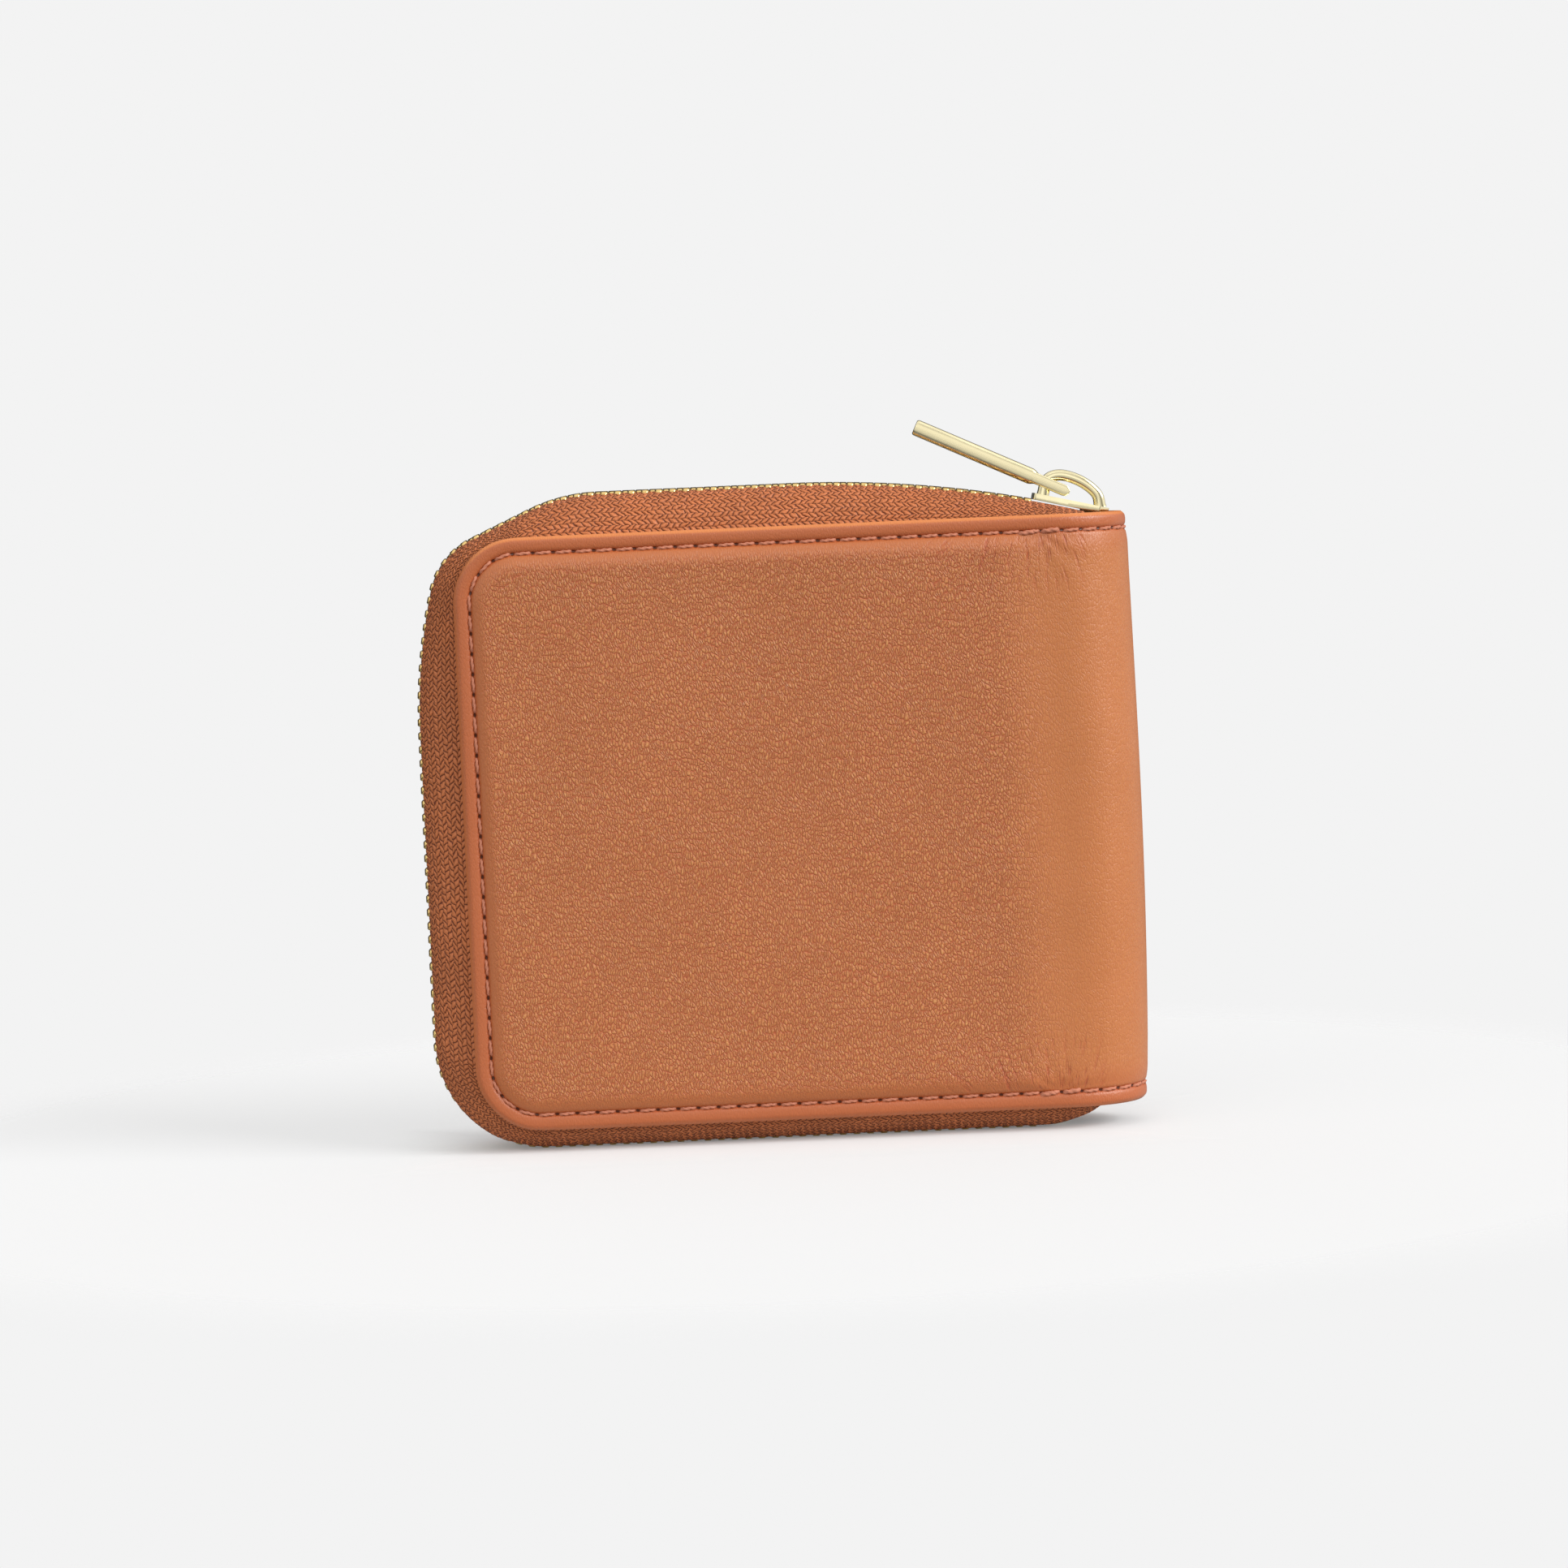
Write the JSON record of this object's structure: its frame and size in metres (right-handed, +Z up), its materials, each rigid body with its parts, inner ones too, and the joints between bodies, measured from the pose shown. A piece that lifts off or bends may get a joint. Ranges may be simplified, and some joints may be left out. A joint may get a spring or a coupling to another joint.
{
  "type": "zip around wallet",
  "caption": "Small upright bifold wallet in soft leather, closed on three sides by a metal zip with a bulging cloth gusset, a rounded spine and a bar pull.",
  "frame": {"origin": "middle of the bounding box, on the surface that the wallet stands on", "axes": "+X across the wallet from the zip's left run to the spine, +Y from the front cover to the rear cover, +Z up"},
  "size_m": [0.1097, 0.02, 0.1098],
  "materials": {
    "tan_leather": "soft pebbled full-grain, satin",
    "inner_leather": "smooth satin",
    "lining_cloth": "woven twill, matt",
    "zip_tape_cloth": "woven zip tape, matt",
    "gold_metal": "pale gold plating, polished",
    "stiffener_board": "bonded fibre board, matt"
  },
  "bodies": {
    "rear_half": {"rear_cover": "tan_leather", "rear_board": "stiffener_board", "rear_lining": "lining_cloth", "rear_note_pocket": "inner_leather", "rear_zip_tape": "zip_tape_cloth", "rear_zip_teeth": "gold_metal", "rear_bottom_stop": "gold_metal", "coin_pocket_back": "inner_leather", "coin_pocket_front": "inner_leather", "coin_pocket_header": "inner_leather", "coin_zip_tape": "zip_tape_cloth", "coin_zip_teeth": "gold_metal"},
    "spine_rear": {"rear_spine_leather": "tan_leather", "rear_spine_lining": "lining_cloth"},
    "spine_front": {"front_spine_leather": "tan_leather", "front_spine_lining": "lining_cloth"},
    "front_half": {"front_cover": "tan_leather", "front_board": "stiffener_board", "front_lining": "lining_cloth", "front_note_pocket": "inner_leather", "front_card_slot_1": "inner_leather", "front_card_slot_2": "inner_leather", "front_card_slot_3": "inner_leather", "front_card_slot_4": "inner_leather", "front_zip_tape": "zip_tape_cloth", "front_zip_teeth": "gold_metal", "front_bottom_stop": "gold_metal"},
    "slider": {"slider_body": "gold_metal", "slider_crown": "gold_metal"},
    "pull": {"pull_tab": "gold_metal"},
    "coin_slider": {"coin_slider": "gold_metal", "coin_pull": "gold_metal"}
  },
  "joints": [
    {"name": "wallet_open", "type": "hinge", "parent": "spine_rear", "child": "spine_front", "pos_m": [0.05485, 0, 0.0491], "axis": [0, 0, 1], "range_deg": [0, 101.78]},
    {"name": "rear_fold", "type": "hinge", "parent": "rear_half", "child": "spine_rear", "pos_m": [0.04255, 0.01, 0.0491], "axis": [0, 0, 1], "range_deg": [0, 39.3]},
    {"name": "front_fold", "type": "hinge", "parent": "spine_front", "child": "front_half", "pos_m": [0.04255, -0.01, 0.0491], "axis": [0, 0, 1], "range_deg": [0, 39.3]},
    {"name": "slider_travel", "type": "hinge", "parent": "rear_half", "child": "slider", "pos_m": [0.00355, 0, -0.0744], "axis": [0, -1, 0], "range_deg": [0, 12.4]},
    {"name": "pull_swing", "type": "hinge", "parent": "slider", "child": "pull", "pos_m": [0.04577, 0, 0.09806], "axis": [0, 1, 0], "range_deg": [0, 100]},
    {"name": "coin_slider_travel", "type": "slide", "parent": "rear_half", "child": "coin_slider", "axis": [-1, 0, 0], "range_m": [0, 0.066]}
  ],
  "couplings": [
    {"joint": "rear_fold", "follows": "wallet_open", "ratio": 0.3843},
    {"joint": "front_fold", "follows": "wallet_open", "ratio": 0.3843}
  ]
}
